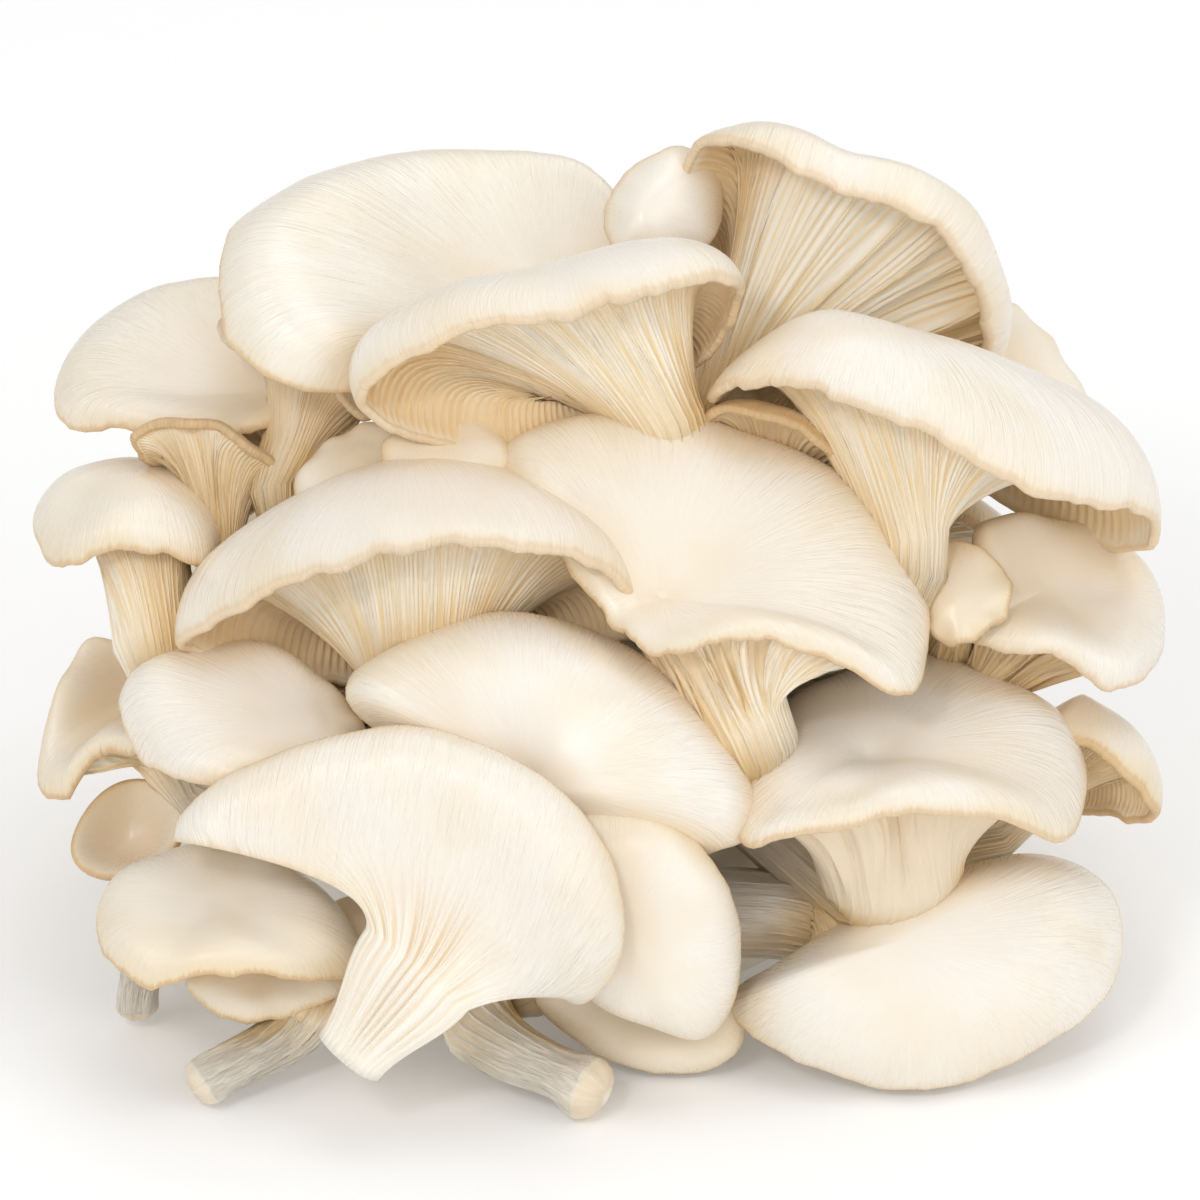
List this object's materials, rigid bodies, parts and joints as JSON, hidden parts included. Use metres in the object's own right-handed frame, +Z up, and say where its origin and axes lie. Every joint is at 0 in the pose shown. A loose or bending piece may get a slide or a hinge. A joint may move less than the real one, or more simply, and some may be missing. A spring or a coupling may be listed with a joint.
{
  "type": "oyster mushroom cluster",
  "caption": "Heap of pale fan-shaped mushroom caps with rolled wavy edges, gilled undersides and short stems, standing on a flat cut butt.",
  "frame": {"origin": "on the flat cut underside of the butt, below the middle of the heap", "axes": "+Z up, +X across the heap to the right as the picture shows it, -Y towards the picture's camera"},
  "size_m": [0.2272, 0.1766, 0.1616],
  "materials": {
    "main_bunch": "moist, silky pale cream mushroom flesh, tan at the cap edges",
    "front_fan": "moist, silky pale cream mushroom flesh",
    "front_left_bunch": "moist, silky cream mushroom flesh, tan at the cap edges",
    "front_middle_bunch": "moist, silky pale cream mushroom flesh",
    "front_right_cap": "moist, silky pale cream mushroom flesh, tan at the cap edge"
  },
  "bodies": {
    "root": {"main_bunch": "main_bunch", "front_fan": "front_fan", "front_left_bunch": "front_left_bunch", "front_middle_bunch": "front_middle_bunch", "front_right_cap": "front_right_cap"}
  },
  "joints": []
}
